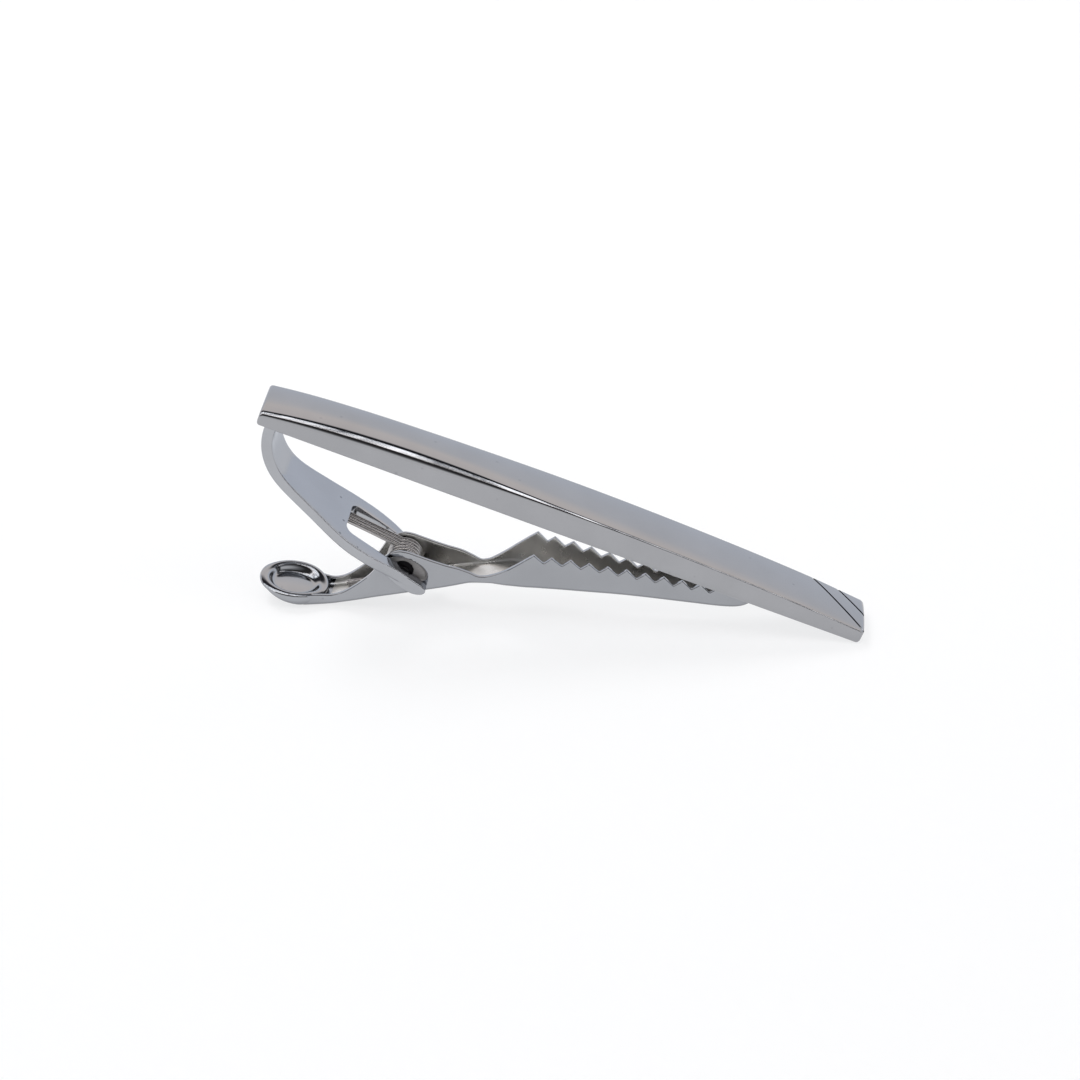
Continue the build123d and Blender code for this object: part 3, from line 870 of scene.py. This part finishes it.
# Studio round the clip, by direction: a pale wall behind, a dark gap, an
# overhead softbox broken by its frame, a dark gap again, then the paper in front.
world = bpy.data.worlds.new("studio")
bpy.context.scene.world = world
world.use_nodes = True
wn, wl = world.node_tree.nodes, world.node_tree.links
bg = wn["Background"]
wtc = wn.new("ShaderNodeTexCoord")
wsep = wn.new("ShaderNodeSeparateXYZ")
wl.new(wtc.outputs["Generated"], wsep.inputs["Vector"])
wphi = wn.new("ShaderNodeMath")
wphi.operation = "ARCTAN2"
wl.new(wsep.outputs["Z"], wphi.inputs[0])
wl.new(wsep.outputs["Y"], wphi.inputs[1])
wpos = wn.new("ShaderNodeMapRange")
wpos.inputs["From Min"].default_value = 0.0
wpos.inputs["From Max"].default_value = math.pi
wl.new(wphi.outputs["Value"], wpos.inputs["Value"])


def sky(stops):
    r = wn.new("ShaderNodeValToRGB")
    e = r.color_ramp.elements
    while len(e) > 1:
        e.remove(e[-1])
    for k, (deg, c) in enumerate(stops):
        el = e[0] if k == 0 else e.new(deg / 180)
        el.position = deg / 180
        el.color = (*c, 1)
    wl.new(wpos.outputs["Result"], r.inputs["Fac"])
    return r


BACK = [(0, (0.86, 0.90, 0.98)), (18, (0.86, 0.90, 0.98)), (29, (0.90, 0.91, 0.95)),
        (35, (1.08, 1.01, 0.97)), (44, (1.05, 0.98, 0.95)), (50, (0.25, 0.24, 0.24)), (54, (0.03, 0.03, 0.035))]
lit = sky(BACK + [(78, (0.04, 0.04, 0.045)), (84, (0.95, 0.97, 1.0)), (122, (1.0, 0.97, 0.95)),
                  (128, (0.05, 0.04, 0.04)), (146, (0.05, 0.05, 0.05)),
                  (155, (0.25, 0.25, 0.26)), (164, (0.9, 0.9, 0.9)), (180, (1.0, 1.0, 1.0))])
gap = sky(BACK + [(78, (0.03, 0.03, 0.035)), (90, (0.04, 0.045, 0.05)), (103, (0.10, 0.105, 0.12)),
                  (115, (0.05, 0.04, 0.04)), (126, (0.03, 0.03, 0.03)), (146, (0.05, 0.05, 0.05)),
                  (155, (0.25, 0.25, 0.26)), (164, (0.9, 0.9, 0.9)), (180, (1.0, 1.0, 1.0))])
wno = wn.new("ShaderNodeTexNoise")
wno.noise_dimensions = "1D"
wno.inputs["Scale"].default_value = 48.0
wno.inputs["Detail"].default_value = 1.0
# the lamps stand in a row along the clip's long axis
wax = wn.new("ShaderNodeVectorMath")
wax.operation = "DOT_PRODUCT"
wax.inputs[1].default_value = (0.9434, 0.0, -0.3317)
wl.new(wtc.outputs["Generated"], wax.inputs[0])
wl.new(wax.outputs["Value"], wno.inputs["W"])
wcut = wn.new("ShaderNodeMapRange")
wcut.inputs["From Min"].default_value = 0.47
wcut.inputs["From Max"].default_value = 0.53
wl.new(wno.outputs["Fac"], wcut.inputs["Value"])
wmix = wn.new("ShaderNodeMix")
wmix.data_type = "RGBA"
wl.new(wcut.outputs["Result"], wmix.inputs["Factor"])
wl.new(lit.outputs["Color"], wmix.inputs["A"])
wl.new(gap.outputs["Color"], wmix.inputs["B"])
# the softbox is brighter than the walls
wbox = wn.new("ShaderNodeValToRGB")
e = wbox.color_ramp.elements
e[0].position, e[0].color = 79 / 180, (0, 0, 0, 1)
e[1].position, e[1].color = 85 / 180, (1, 1, 1, 1)
e.new(121 / 180).color = (1, 1, 1, 1)
e.new(127 / 180).color = (0, 0, 0, 1)
wl.new(wpos.outputs["Result"], wbox.inputs["Fac"])
wstr = wn.new("ShaderNodeMath")
wstr.operation = "MULTIPLY_ADD"
wl.new(wbox.outputs["Color"], wstr.inputs[0])
wstr.inputs[1].default_value = 2.2
wstr.inputs[2].default_value = 1.0
wl.new(wmix.outputs["Result"], bg.inputs["Color"])
wl.new(wstr.outputs["Value"], bg.inputs["Strength"])


def area(name, loc, target, size, power, size_y=None, color=(1, 1, 1)):
    li = bpy.data.lights.new(name, "AREA")
    li.energy = power
    li.color = color
    li.shape = "RECTANGLE"
    li.size = size
    li.size_y = size_y or size
    ob = bpy.data.objects.new(name, li)
    ob.location = loc
    d = Vector(target) - Vector(loc)
    ob.rotation_euler = d.to_track_quat("-Z", "Y").to_euler()
    bpy.context.scene.collection.objects.link(ob)
    return ob


key = area("key_softbox", (-0.28, 0.30, 0.50), (0, 0, 0), 0.22, 2.0)
key.visible_glossy = False

cam = bpy.data.cameras.new("camera")
cam.sensor_width = 36.0
cam.lens = 92.676
cam.clip_start = 0.01
cam_ob = bpy.data.objects.new("camera", cam)
right = Vector((0.995541, 0.093636, 0.011415))
up = Vector((-0.057189, 0.502899, 0.862451))
back = -Vector((-0.075016, 0.859258, -0.506012))
cam_ob.matrix_world = Matrix((
    (right.x, up.x, back.x, 0.0177396),
    (right.y, up.y, back.y, -0.2253426),
    (right.z, up.z, back.z, 0.1402368),
    (0, 0, 0, 1)))
bpy.context.scene.collection.objects.link(cam_ob)
bpy.context.scene.camera = cam_ob
bpy.context.scene.view_settings.view_transform = "Standard"
bpy.context.scene.view_settings.look = "None"
